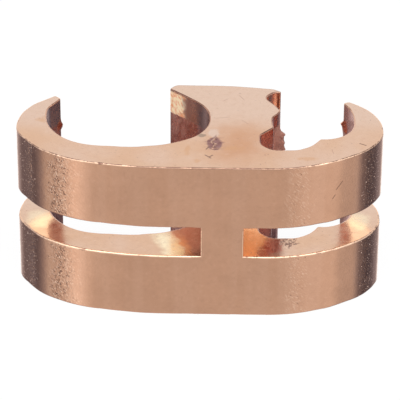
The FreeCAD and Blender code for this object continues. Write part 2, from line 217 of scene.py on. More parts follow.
def smooth_outline(points, step):
    """Points at most a step apart on a smooth curve through the given ones, each with its direction."""
    count = len(points)
    headings = [(points[(i + 1) % count] - points[i - 1]).normalized() for i in range(count)]
    samples = []
    for i in range(count):
        start, end = points[i], points[(i + 1) % count]
        length = (end - start).length
        leave, arrive = headings[i] * length, headings[(i + 1) % count] * length
        pieces = max(1, math.ceil(length / step))
        for k in range(pieces):
            t = k / pieces
            place = (start * (2 * t ** 3 - 3 * t ** 2 + 1) + leave * (t ** 3 - 2 * t ** 2 + t)
                     + end * (3 * t ** 2 - 2 * t ** 3) + arrive * (t ** 3 - t ** 2))
            slope = (start * (6 * t ** 2 - 6 * t) + leave * (3 * t ** 2 - 4 * t + 1)
                     + end * (6 * t - 6 * t ** 2) + arrive * (3 * t ** 2 - 2 * t))
            samples.append((place, slope.normalized()))
    return samples


class Column:
    """One place on the outline: its point, its direction inwards, and whether the web stands there."""

    def __init__(self, place, heading):
        self.place = place
        self.inward = Vector((-heading.y, heading.x))
        self.web = WEB_LEFT < place.x < WEB_RIGHT
        nearest = min(abs(place.x - WEB_LEFT), abs(place.x - WEB_RIGHT))
        self.widening = 0.0 if self.web else min(1.0, nearest / WIDENING)
        self.rim = RIM_MEAN
        self.slot_rim = WEB_RIM


def make_columns():
    """The outline's columns, with one exactly where the rounding of each edge of the web ends."""
    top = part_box(NODE)[1].z
    samples = smooth_outline(ring_at(top - EDGE_ROUND), OUTLINE_STEP)
    columns = []
    for i, (place, heading) in enumerate(samples):
        past = [(place.x - edge) * side for edge, side in WEB_EDGES]
        if not any(WEB_CLEAR[0] < distance < WEB_CLEAR[1] for distance in past):
            columns.append(Column(place, heading))
        onward, onward_heading = samples[(i + 1) % len(samples)]
        for edge, side in WEB_EDGES:
            target = edge + side * WEB_RIM
            if (place.x - target) * (onward.x - target) < 0:
                share = (target - place.x) / (onward.x - place.x)
                columns.append(Column(place.lerp(onward, share), heading.lerp(onward_heading, share)))
    set_rims(columns)
    return columns


def rim_radii(before, here, after):
    """The radii of the outer and the slot's broken edge at a point: uneven, and small on a tight corner."""
    swing = noise.noise(Vector((here.x, here.y, 0.0)) / RIM_WAVE)
    fine_swing = noise.noise(Vector((here.x, here.y, RIM_FINE_LAYER)) / RIM_FINE_WAVE)
    radius = RIM_MEAN + RIM_SWING * swing + RIM_FINE_SWING * fine_swing
    widest = SLOT_RIM_SHARE * radius
    turn = (here - before).normalized().cross((after - here).normalized())
    if turn > LEAST_TURN:
        bend = (after - before).length / 2 / turn
        widest = min(widest, BEND_SHARE * bend - RIM_BORDER)
    return max(min(radius, widest), RIM_LEAST), max(widest, RIM_LEAST)


def set_rims(columns):
    """Gives each column its radii, the smallest of those wanted by it and by its neighbours."""
    count = len(columns)
    wanted = [rim_radii(columns[i - 1].place, column.place, columns[(i + 1) % count].place)
              for i, column in enumerate(columns)]
    for i, column in enumerate(columns):
        near = [wanted[(i + k) % count] for k in range(-RIM_NEIGHBOURS, RIM_NEIGHBOURS + 1)]
        column.rim = min(outer for outer, slot in near)
        slot_rim = min(slot for outer, slot in near)
        column.slot_rim = WEB_RIM + (slot_rim - WEB_RIM) * column.widening


def rim_profile(radius):
    """Steps round a broken edge, as (distance below the edge, distance in from the edge)."""
    steps = [(radius + RIM_BORDER, 0.0)]
    for k in range(RIM_STEPS + 1):
        angle = math.pi / 2 * k / RIM_STEPS
        steps.append((radius * (1 - math.sin(angle)), radius * (1 - math.cos(angle))))
    steps.append((0.0, radius + RIM_BORDER))
    return steps


class Skin:
    """Collects the faces of one closed surface patch by patch. Patches meet at equal points."""

    def __init__(self):
        self.points = []
        self.faces = []
        self.finishes = []

    def add_grid(self, rows, finish, flipped=False):
        """Quads between neighbouring rows of points."""
        first = len(self.points)
        width = len(rows[0])
        for row in rows:
            self.points.extend(row)
        for j in range(len(rows) - 1):
            for i in range(width - 1):
                a = first + j * width + i
                quad = (a, a + 1, a + width + 1, a + width)
                self.faces.append(quad[::-1] if flipped else quad)
                self.finishes.append(finish)

    def add_level(self, outline, height, upward, fine_points=()):
        """A sawn level face inside a closed outline of (x, y) points, with fine points over the nick."""
        inner = staggered_points(outline)
        if fine_points:
            inner = [p for p in inner if nick_share(p) == 0] + fine_points
        spots = [Vector(p) for p in outline] + inner
        border = [list(range(len(outline)))]
        inside_only = 1
        placed, _, triangles, *_ = delaunay_2d_cdt(spots, [], border, inside_only, CROSSING_REACH)
        first = len(self.points)
        self.points.extend(raised(p, height) for p in placed)
        for triangle in triangles:
            corners = [first + k for k in triangle]
            a, b, c = (placed[k] for k in triangle[:3])
            anticlockwise = (b - a).cross(c - a) > 0
            self.faces.append(tuple(corners if anticlockwise == upward else corners[::-1]))
            self.finishes.append(CUT)

    def make_mesh(self, name):
        """The patches joined into one mesh and given the nick, the burrs and the hook's end."""
        mesh = bpy.data.meshes.new(name)
        mesh.from_pydata([tuple(p) for p in self.points], [], self.faces)
        mesh.polygons.foreach_set("material_index", self.finishes)
        work = bmesh.new()
        work.from_mesh(mesh)
        bmesh.ops.remove_doubles(work, verts=work.verts, dist=WELD)
        bruises = []
        for vertex in work.verts:
            depth, bruise = nick_shape(vertex.co)
            bruises.append(bruise)
            vertex.co += burr_push(vertex.co) + hook_push(vertex.co)
            vertex.co.z -= depth
        work.to_mesh(mesh)
        work.free()
        mesh.attributes.new("bruise", "FLOAT", "POINT").data.foreach_set("value", bruises)
        mark_hollows(mesh)
        return mesh


def staggered_points(outline):
    """Points in staggered rows all over the inside of a closed outline, clear of the outline itself."""
    low_x, high_x = min(p.x for p in outline), max(p.x for p in outline)
    low_y, high_y = min(p.y for p in outline), max(p.y for p in outline)
    points = []
    y = low_y + FACE_STEP / 2
    shift = 0.0
    while y < high_y:
        x = low_x + FACE_STEP / 2 + shift
        while x < high_x:
            points.append(Vector((x, y)))
            x += FACE_STEP
        y += FACE_STEP * math.sqrt(3) / 2
        shift = FACE_STEP / 2 - shift
    return [p for p in points if clear_inside(p, outline)]


def clear_inside(point, outline):
    """Whether a point lies inside a closed outline and no nearer to its corners than the margin."""
    inside = False
    previous = outline[-1]
    for corner in outline:
        if (corner.y > point.y) != (previous.y > point.y):
            across = previous.x + (corner.x - previous.x) * (point.y - previous.y) / (corner.y - previous.y)
            if across > point.x:
                inside = not inside
        if abs(corner.x - point.x) < FACE_MARGIN and abs(corner.y - point.y) < FACE_MARGIN:
            return False
        previous = corner
    return inside


def smooth(share):
    """A share from 0 to 1, held at both ends and eased into them."""
    share = min(max(share, 0.0), 1.0)
    return share * share * (3 - 2 * share)


def burr_push(point):
    """How far the burrs push a point of the walls."""
    push = Vector((0, 0, 0))
    for middle, size, reach in BURRS:
        away = point - middle
        distance = math.sqrt(sum((away[k] / size[k]) ** 2 for k in range(3)))
        if distance < 1:
            ragged = BURR_MEAN + BURR_SWING * noise.noise(point / BURR_GRAIN)
            push += reach * smooth((1 - distance) * BURR_SLOPE) * ragged
    return push


def hook_push(point):
    """How far the hook's end stands out at a point."""
    if point.x >= HOOK_LIMIT:
        return Vector((0, 0, 0))
    across = smooth((point.x - HOOK_START.x) / HOOK_RISE.x)
    along = smooth((point.y - HOOK_START.y) / HOOK_RISE.y)
    return Vector((HOOK_REACH * across * along, 0, 0))


def nick_share(spot):
    """1 in the middle of the nick, 0 at its edge and beyond."""
    away = spot.xy - NICK
    distance = math.hypot(away.x / NICK_SIZE.x, away.y / NICK_SIZE.y)
    return max(0.0, 1 - distance)


def nick_shape(point):
    """The nick at a point of the top face: its depth there, and how bruised the metal is, from 0 to 1."""
    share = nick_share(point)
    if share == 0 or point.z < NICK_LEVEL:
        return 0.0, 0.0
    ragged = noise.noise(point / NICK_GRAIN)
    nearest = min(distance_to(point.xy, a, b) for a, b in zip(ZIGZAG, ZIGZAG[1:]))
    ridge = smooth(share * BRUISE_SLOPE) * smooth(1 - nearest / ZIGZAG_REACH)
    depth = smooth(share * NICK_SLOPE) * (NICK_MEAN + NICK_SWING * ragged) - ZIGZAG_SHARE * ridge
    bruise = smooth((share + BRUISE_SWING * ragged) * BRUISE_SLOPE) * (1 - ZIGZAG_BARE * ridge)
    return NICK_DEPTH * depth, bruise


def distance_to(point, start, end):
    """How far a point lies from a straight line between two others."""
    along = end - start
    share = min(max((point - start).dot(along) / along.length_squared, 0.0), 1.0)
    return (point - start - along * share).length


def nick_points():
    """Closely set points over the nick, so that the top face can take its shape."""
    spots = [NICK + Vector((x, y)) for x in spread(-NICK_SIZE.x, NICK_SIZE.x, NICK_STEP)
             for y in spread(-NICK_SIZE.y, NICK_SIZE.y, NICK_STEP)]
    return [spot for spot in spots if nick_share(spot) > 0]


def mark_hollows(mesh):
    """Stores for each point how far it lies inside the outline's hull: 0 on the outside, 1 in a groove."""
    spots = [v.co.xy for v in mesh.vertices if abs(v.co.z - HOLLOW_LEVEL) < ROW_STEP]
    hull = [spots[k] for k in convex_hull_2d(spots)]
    edges = [(a, b) for a, b in zip(hull, hull[1:] + hull[:1]) if (a - b).length > WELD]
    known = {}
    values = []
    for vertex in mesh.vertices:
        key = (round(vertex.co.x, 5), round(vertex.co.y, 5))
        if key not in known:
            inside = min(distance_to(vertex.co.xy, a, b) for a, b in edges)
            known[key] = smooth(inside / HOLLOW_REACH - HOLLOW_START)
        values.append(known[key])
    mesh.attributes.new("hollow", "FLOAT", "POINT").data.foreach_set("value", values)


def spread(low, high, step):
    """Values from low to high, evenly spaced and about a step apart."""
    count = max(1, round((high - low) / step))
    return [low + (high - low) * k / count for k in range(count + 1)]


def raised(place, height):
    return Vector((place.x, place.y, height))


def rim_rows(columns, radii, height, side):
    """The rows of points round a broken edge: side is 1 where the level face looks up, -1 where down."""
    profiles = [rim_profile(radius) for radius in radii]
    return [[raised(column.place + column.inward * inside, height - side * below)
             for column, (below, inside) in zip(columns, step)] for step in zip(*profiles)]


def rows_between(lower, upper, count):
    """Rows of points from a lower row to an upper one, in a number of equal steps."""
    return [[a.lerp(b, k / count) for a, b in zip(lower, upper)] for k in range(count + 1)]


def wall_rows(lower, upper):
    """Rows of wall between two rows of points."""
    return rows_between(lower, upper, max(1, round((upper[0].z - lower[0].z) / ROW_STEP)))


def corner_points(column, neighbour, edge, side):
    """The rounding of one upright edge of the web: its (x, y) points, from the wall to the side face."""
    points = []
    for below, inside in rim_profile(WEB_RIM):
        reach = edge + side * min(below, WEB_RIM)
        share = (reach - column.place.x) / (neighbour.place.x - column.place.x)
        points.append(column.place.lerp(neighbour.place, share) + column.inward * inside)
    return points


def add_bands(skin, columns, slot):
    """The upper and the lower band: the top, the base, their rims, and the walls as far as the slots."""
    low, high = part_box(NODE)
    closed = columns + columns[:1]
    radii = [column.rim for column in closed]
    top_rows = rim_rows(closed, radii, high.z, 1)
    base_rows = rim_rows(closed, radii, low.z, -1)
    skin.add_grid(top_rows, EDGE)
    skin.add_grid(base_rows, EDGE, flipped=True)
    skin.add_level([p.xy for p in top_rows[-1][:-1]], high.z, True, nick_points())
    skin.add_level([p.xy for p in base_rows[-1][:-1]], low.z, False)
    lower_wall_top = [raised(c.place, slot[0] - c.slot_rim - RIM_BORDER) for c in closed]
    upper_wall_foot = [raised(c.place, slot[1] + c.slot_rim + RIM_BORDER) for c in closed]
    skin.add_grid(wall_rows(base_rows[0], lower_wall_top), SKIN)
    skin.add_grid(wall_rows(upper_wall_foot, top_rows[0]), SKIN)


def runs_of(columns):
    """The columns as runs, in turn with and without the web. The first run has it."""
    first = next(i for i, column in enumerate(columns) if column.web and not columns[i - 1].web)
    runs = []
    for column in columns[first:] + columns[:first]:
        if not runs or runs[-1][-1].web != column.web:
            runs.append([])
        runs[-1].append(column)
    return runs


def add_web_wall(skin, run, slot):
    """The web's front or rear wall beside the slots."""
    foot = [raised(c.place, slot[0] - WEB_RIM - RIM_BORDER) for c in run]
    head = [raised(c.place, slot[1] + WEB_RIM + RIM_BORDER) for c in run]
    skin.add_grid(rows_between(foot, head, SLOT_LEVELS), SKIN)


def add_slot(skin, before, run, after, slot):
    """One slot between two columns of the web: its floor and roof with their rims, and the web's side."""
    edge, side = WEB_EDGES[0 if before.place.x < (WEB_LEFT + WEB_RIGHT) / 2 else 1]
    start = corner_points(before, run[0], edge, side)
    end = corner_points(after, run[-1], edge, side)
    drops = [below for below, inside in rim_profile(WEB_RIM)]
    closings = []
    for height, facing in zip(slot, (1, -1)):
        rows = rim_rows(run, [column.slot_rim for column in run], height, facing)
        for row, first, last, drop in zip(rows, start, end, drops):
            row.insert(0, raised(first, height - facing * drop))
            row.append(raised(last, height - facing * drop))
        skin.add_grid(rows, EDGE, flipped=facing < 0)
        inner = rows[-1]
        step = FACE_STEP / (inner[-1] - inner[0]).length
        closing = [inner[-1].lerp(inner[0], share) for share in spread(0, 1, step)]
        skin.add_level([p.xy for p in inner + closing[1:-1]], height, facing > 0)
        closings.append(closing)
    skin.add_grid(rows_between(*closings, SLOT_LEVELS), CUT)
    for corner, flipped in ((start, True), (end, False)):
        foot = [raised(p, slot[0] - drop) for p, drop in zip(corner, drops)]
        head = [raised(p, slot[1] + drop) for p, drop in zip(corner, drops)]
        skin.add_grid(rows_between(foot, head, SLOT_LEVELS), EDGE, flipped=flipped)


def make_connector_mesh():
    """The whole connector as one closed surface."""
    skin = Skin()
    low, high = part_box(NODE)
    slot = ((low.z + high.z - SLOT_GAP) / 2, (low.z + high.z + SLOT_GAP) / 2)
    columns = make_columns()
    add_bands(skin, columns, slot)
    runs = runs_of(columns)
    for index, run in enumerate(runs):
        if run[0].web:
            add_web_wall(skin, run, slot)
        else:
            add_slot(skin, runs[index - 1][-1], run, runs[(index + 1) % len(runs)][0], slot)
    return skin.make_mesh("connector_copper")


class Nodes:
    """Short calls for building a node tree. A value may be a number, a colour, a vector or a socket."""

    def __init__(self, tree):
        self.tree = tree

    def add(self, kind, inputs=None, **settings):
        node = self.tree.nodes.new(kind)
        for name, value in settings.items():
            setattr(node, name, value)
        for name, value in (inputs or {}).items():
            self.set(node.inputs[name], value)
        return node

    def set(self, socket, value):
        if isinstance(value, bpy.types.NodeSocket):
            self.tree.links.new(value, socket)
        else:
            socket.default_value = value

    def math(self, operation, first, second=0.0):
        return self.add("ShaderNodeMath", {0: first, 1: second}, operation=operation).outputs[0]

    def blend(self, share, first, second):
        """Mixes two colours by a share from 0 to 1."""
        node = self.add("ShaderNodeMix", data_type="RGBA")
        self.set(node.inputs["Factor"], share)
        self.set(node.inputs[6], first)
        self.set(node.inputs[7], second)
        return node.outputs[2]

    def between(self, value, low, high, low_result=0.0, high_result=1.0):
        """Maps a value smoothly from one range to another, and holds it at both ends."""
        node = self.add("ShaderNodeMapRange", {"Value": value, "From Min": low, "From Max": high,
                                               "To Min": low_result, "To Max": high_result},
                        interpolation_type="SMOOTHSTEP")
        return node.outputs[0]

    def grey_ramp(self, value, stops):
        """A smooth curve of greys over 0 to 1, through (place, grey) stops. The dark ones are cooler."""
        ramp = self.add("ShaderNodeValToRGB", {0: value})
        elements = ramp.color_ramp.elements
        ramp.color_ramp.interpolation = "EASE"
        for index, (place, grey) in enumerate(stops):
            element = elements[index] if index < 2 else elements.new(place)
            element.position = place
            cooler = 1 + COOLNESS * max(0.0, 1 - grey * TONE_TOP / COOL_BELOW)
            element.color = (grey, grey, grey * cooler, 1)
        return ramp.outputs["Color"]


class Metal(Nodes):
    """A bare metal under construction: its colour, its bumps and the place on the part, in millimetres."""

    def __init__(self, name):
        self.material = bpy.data.materials.new(name)
        self.material.use_nodes = True
        super().__init__(self.material.node_tree)
        self.shader = self.tree.nodes["Principled BSDF"]
        self.shader.inputs["Metallic"].default_value = 1.0
        place = self.add("ShaderNodeTexCoord").outputs["Object"]
        parts = self.add("ShaderNodeSeparateXYZ", {0: place})
        self.x, self.y, self.z = (self.math("MULTIPLY", axis, 1 / MM) for axis in parts.outputs)
        surface = self.add("ShaderNodeNewGeometry").outputs["Normal"]
        facing = self.add("ShaderNodeSeparateXYZ", {0: surface}).outputs
        self.frontward = self.between(facing[1], *FRONTWARD)
        self.level = self.between(facing[2], *LEVEL)
        self.colour = None
        self.normal = None

    def attribute(self, name):
        return self.add("ShaderNodeAttribute", attribute_name=name).outputs["Fac"]

    def tinted(self, colour, share, paint):
        """A colour under a named one, which covers it where a share says, as strongly as its fourth value."""
        return self.blend(self.scaled(share, paint[3]), colour, (*paint[:3], 1))

    def tint(self, share, paint):
        """The same with the surface's colour so far."""
        self.colour = self.tinted(self.colour, share, paint)

    def mottle(self, dark, pale, size, **look):
        """Clouds of a darker and a paler colour all over."""
        cloud = self.noise(size, **look)
        self.tint(self.between(cloud, *MOTTLE_DARK), dark)
        self.tint(self.between(cloud, *MOTTLE_PALE), pale)

    def satin(self, size, least, most, shift):
        """A roughness that varies from place to place."""
        return self.between(self.noise(size, detail=3, shift=shift), *SATIN, least, most)

    def bump(self, height, depth):
        inputs = {"Height": height, "Distance": depth * MM, "Strength": 1.0}
        if self.normal:
            inputs["Normal"] = self.normal
        self.normal = self.add("ShaderNodeBump", inputs).outputs[0]

    def scaled(self, value, factor):
        return self.math("MULTIPLY", value, factor)

    def shifted(self, value, distance):
        return self.math("ADD", value, distance)

    def without(self, share):
        return self.math("SUBTRACT", 1.0, share)

    def both(self, *shares):
        result = shares[0]
        for share in shares[1:]:
            result = self.math("MULTIPLY", result, share)
        return result

    def either(self, *shares):
        result = shares[0]
        for share in shares[1:]:
            result = self.math("MAXIMUM", result, share)
        return result

    def noise(self, size, stretch=(1, 1, 1), detail=2.0, roughness=0.5, shift=0.0):
        """Noise whose features are about a size across, drawn out by a stretch along X, Y and Z."""
        place = self.add("ShaderNodeTexCoord").outputs["Object"]
        scale = [1 / (size * MM * s) for s in stretch]
        mapping = self.add("ShaderNodeMapping", {"Vector": place, "Scale": scale,
                                                 "Location": (shift, shift / 2, shift / 3)})
        return self.add("ShaderNodeTexNoise", {"Vector": mapping.outputs[0], "Scale": 1.0,
                                               "Detail": detail, "Roughness": roughness}).outputs[0]

    def patches(self, size, low, high, **look):
        """1 where noise of a size is above the high value, 0 where it is below the low one."""
        return self.between(self.noise(size, **look), low, high)

    def swing(self, size, reach, detail, shift=0.0):
        """A value that wanders round 0, over half a reach to each side."""
        return self.scaled(self.shifted(self.noise(size, detail=detail, shift=shift), -0.5), reach)

    def strip(self, value, low, high, soft):
        """1 between two values, falling to 0 over a soft width outside them."""
        return self.both(self.between(value, low - soft, low), self.between(value, high + soft, high))

    def within(self, **places):
        """1 inside places by axis. Each is a strip, or the pair where it starts and where it is full."""
        return self.both(*[(self.strip if len(place) == 3 else self.between)(getattr(self, axis), *place)
                           for axis, place in places.items()])

    def blob(self, middle, size, edge, ragged, soft):
        """1 inside an oval on the plan, 0 outside it, with an edge as ragged and as soft as asked."""
        across = self.math("DIVIDE", self.shifted(self.x, -middle[0]), size[0])
        along = self.math("DIVIDE", self.shifted(self.y, -middle[1]), size[1])
        square = self.math("ADD", self.math("POWER", across, 2.0), self.math("POWER", along, 2.0))
        distance = self.shifted(self.math("SQRT", square), self.swing(edge, 2 * ragged, detail=3))
        return self.between(distance, 1.0, 1.0 - soft)

    def stroke(self, across, upward, half_width, middle, slope, half_length):
        """1 along a short straight scratch on the plane of two coordinates, whose slope is in degrees."""
        right, up = math.cos(math.radians(slope)), math.sin(math.radians(slope))
        over, rise = self.shifted(across, -middle[0]), self.shifted(upward, -middle[1])
        along = self.math("ADD", self.scaled(over, right), self.scaled(rise, up))
        aside = self.math("SUBTRACT", self.scaled(over, up), self.scaled(rise, right))
        return self.both(self.strip(along, -half_length, half_length, STROKE_END),
                         self.strip(aside, -half_width, half_width, STROKE_SIDE))

    def strokes(self, across, upward, half_width, lines):
        return self.either(*[self.stroke(across, upward, half_width, *line) for line in lines])

    def slanted_noise(self, size, length, shift):
        """Noise in short strokes that fall to the right on the front: a size across and a length long."""
        across = self.math("DIVIDE", self.shifted(self.x, self.scaled(self.z, PIT_SLANT)), size)
        along = self.math("DIVIDE", self.z, length)
        depth = self.math("DIVIDE", self.y, size)
        place = self.add("ShaderNodeCombineXYZ", {0: across, 1: depth, 2: self.shifted(along, shift)})
        return self.add("ShaderNodeTexNoise", {"Vector": place.outputs[0], "Scale": 1.0, "Detail": 3.0,
                                               "Roughness": 0.65}).outputs[0]

    def finish(self, roughness):
        self.set(self.shader.inputs["Base Color"], self.colour)
        self.set(self.shader.inputs["Roughness"], roughness)
        self.set(self.shader.inputs["Normal"], self.normal)
        return self.material


# Where the surface starts to face the front and fully does, and the same for looking up.
FRONTWARD = (0.0, -0.2)
LEVEL = (0.55, 0.8)
# The noise of the darker and of the paler clouds, and of the satin finish: where each starts and is full.
MOTTLE_DARK = (0.5, 0.68)
MOTTLE_PALE = (0.46, 0.3)
SATIN = (0.3, 0.7)

# The copper's colours as red, green, blue and how strongly each covers what is under it.
# On the drawn skin:
SKIN_DEEP = (0.605, 0.335, 0.215, 1)
SKIN_LIGHT = (0.655, 0.365, 0.235, 1)
SKIN_STRIPE = (0.685, 0.4, 0.27, 0.5)
SKIN_DARK_MOTTLE = (0.5, 0.27, 0.18, 0.22)
SKIN_PALE_MOTTLE = (0.76, 0.46, 0.33, 0.22)
# A painted glint on the flecks among the pits:
SKIN_GLINT = (0.92, 0.64, 0.48, 0.9)
SKIN_PIT = (0.19, 0.085, 0.058, 0.85)
# A painted glint on the pale spots at both ends:
SKIN_GLINT_DOT = (1.0, 0.82, 0.72, 0.8)
SKIN_SCRATCH = (0.14, 0.07, 0.05, 0.75)
# In the grooves:
GROOVE_DARK = (0.46, 0.17, 0.13, 1)
GROOVE_RED = (0.68, 0.34, 0.27, 1)
GROOVE_RIGHT = (0.85, 0.44, 0.34, 0.45)
GROOVE_GREY = (0.5, 0.37, 0.33, 0.85)
GROOVE_MOUTH = (1.0, 0.5, 0.31, 0.8)
# On the seat's rear wall: painted shade, and the darker and paler gold of a painted reflection.
SEAT_SHADE = (0.5, 0.28, 0.21, 1)
GOLD_REFLECTION_DARK = (0.92, 0.54, 0.33, 1)
GOLD_REFLECTION_PALE = (1.0, 0.9, 0.7, 1)
BURR_GREY = (0.46, 0.33, 0.29, 0.5)
# On the sawn faces:
CUT_DEEP = (0.74, 0.47, 0.315, 1)
CUT_LIGHT = (0.76, 0.52, 0.39, 1)
CUT_REAR = (0.765, 0.55, 0.43, 1)
CUT_WARM = (0.665, 0.365, 0.218, 1)
CUT_DARK_MOTTLE = (0.64, 0.38, 0.27, 0.2)
CUT_PALE_MOTTLE = (0.84, 0.62, 0.5, 0.2)
# In the slots: the roofs painted pale as light for the floors to mirror.
ROOF_PAINTED_LIGHT = (1.0, 0.88, 0.72, 1)
# On the slot floors: painted gilt and orange reflections.
SLOT_GILT_REFLECTION = (1.0, 0.85, 0.6, 1)
SLOT_ORANGE_REFLECTION = (0.97, 0.6, 0.38, 0.6)
# Painted red shade on the right floor:
SLOT_RED_SHADE = (0.78, 0.34, 0.27, 0.6)
# The painted orange fringe of the gilt reflection:
SLOT_FRINGE_REFLECTION = (1.0, 0.6, 0.32, 0.7)
SLOT_STAIN = (0.22, 0.13, 0.11, 0.8)
TOP_ORANGE = (0.69, 0.38, 0.2, 0.5)
TOP_PALE = (0.78, 0.6, 0.5, 0.7)
TOP_FAINT = (0.4, 0.21, 0.16, 0.35)
TOP_BRUISE = (0.31, 0.155, 0.145, 0.95)
TOP_SMUDGE = (0.33, 0.24, 0.18, 0.75)
TOP_MARK = (0.2, 0.11, 0.085, 0.85)
TOP_SPECK = (0.36, 0.2, 0.15, 0.6)
# On the broken edges, with painted highlights, painted shade between them and a painted dark reflection:
EDGE_SHADE = (0.24, 0.12, 0.085, 1)
EDGE_HIGHLIGHT = (0.88, 0.58, 0.41, 1)
EDGE_UNDERNEATH = (0.6, 0.33, 0.22, 0.85)
EDGE_HOLLOW = (0.55, 0.27, 0.19, 0.5)
EDGE_DARK_REFLECTION = (0.17, 0.085, 0.065, 0.9)

# Places on the skin, in millimetres. A strip is (low, high, soft width), and a pair of values is where
# something starts and where it is full.
FRONT_Y = (-3.0, -6.0)
# Bands of pits, as (low, high, soft width, how pitted).
PIT_BANDS = ((-22.2, -21.2, 1.4, 1.0), (-21.9, -20.6, 3.2, 0.6), (14.8, 15.8, 2.4, 0.42))
# How far the bands' borders wander, how far the pits' strokes lean with the height, how pitted both ends
# and the grooves are, the noise level of a pit, and how far that sinks where the skin is pitted.
PIT_WANDER = 5.0
PIT_SLANT = 0.8
END_PITTING = 0.7
GROOVE_PITTING = 0.42
PIT_LEVEL = 0.75
PIT_SINK = 0.24
PIT_BORDER = 0.05
GROOVE_COVER = 0.9
END_PITS = (25.9, 27.6, 0.6)
# Where the pale spots of painted glints lie, by the distance from the middle along X:
END_GLINT_DOTS = (25.4, 28.5, 0.5)
RIGHT_GROOVE_X = (4.0, 6.0)
LEFT_ARM_X = (-18.0, -20.0)
LEFT_ARM_Z = (22.3, 23.0)
# Where the seat's rear wall takes its painted shade, and where its painted gold reflection lies in the left
# part, with how far that border tears.
SEAT_X = (-7.0, 3.0, 0.3)
SEAT_Y = (-0.5, 1.0)
SEAT_SHADE_Z = (22.9, 27.5, 0.2)
GOLD_REFLECTION_X = (-7.0, -3.2, 1.3)
GOLD_REFLECTION_Z = (26.9, 26.6)
GOLD_REFLECTION_TEAR = 1.6
MOUTH_X = (9.0, 13.0, 0.5)
MOUTH_Y = (6.8, 7.6)
MOUTH_Z = (20.0, 22.0)
GREY_BURR_X = ((11.2, 12.0), (16.0, 15.0))
GREY_BURR_Y = ((1.0, 2.5), (7.5, 6.5))
GREY_BURR_Z = (16.0, 24.6, 0.3)
# How far noise is drawn out along X, Y and Z by the drawing of the bar and by the finishing of its ends.
DRAWN = (1, 1, 14)
DRAWN_LINE = (1, 1, 40)
DRAGGED = (14, 1, 1)


def groove_colour(metal, grey_arm):
    """The grooves' deeper reds: lighter in the right groove and grey high on the left arm."""
    cloud = metal.patches(1.1, 0.4, 0.6, stretch=(1, 1, 1.8), detail=4, shift=8.0)
    groove = metal.blend(cloud, GROOVE_DARK, GROOVE_RED)
    groove = metal.tinted(groove, metal.within(x=RIGHT_GROOVE_X), GROOVE_RIGHT)
    return metal.tinted(groove, grey_arm, GROOVE_GREY)


def seat_places(metal):
    """Two places high on the seat's rear wall: one painted darker as shade, and in its left part one painted
    gold as a reflection.
    """
    tear = metal.swing(0.8, GOLD_REFLECTION_TEAR, detail=3, shift=22.0)
    height = metal.shifted(metal.z, metal.scaled(tear, 0.25))
    seat_shade = metal.both(metal.strip(height, *SEAT_SHADE_Z), metal.within(x=SEAT_X, y=SEAT_Y), metal.frontward)
    torn = metal.strip(metal.shifted(metal.x, tear), *GOLD_REFLECTION_X)
    gold_reflection = metal.both(seat_shade, torn, metal.within(z=GOLD_REFLECTION_Z))
    return seat_shade, gold_reflection


def pitted_places(metal, front, hollow):
    """How pitted the skin is: in bands on the front, at both ends, and all through the grooves."""
    across = metal.shifted(metal.x, metal.swing(1.3, PIT_WANDER, detail=4, shift=5.0))
    bands = [metal.scaled(metal.strip(across, *place), depth) for *place, depth in PIT_BANDS]
    ends = metal.scaled(metal.strip(metal.math("ABSOLUTE", metal.x), *END_PITS), END_PITTING)
    at_front = metal.both(front, metal.either(*bands, ends))
    return metal.either(at_front, metal.scaled(hollow, GROOVE_PITTING))


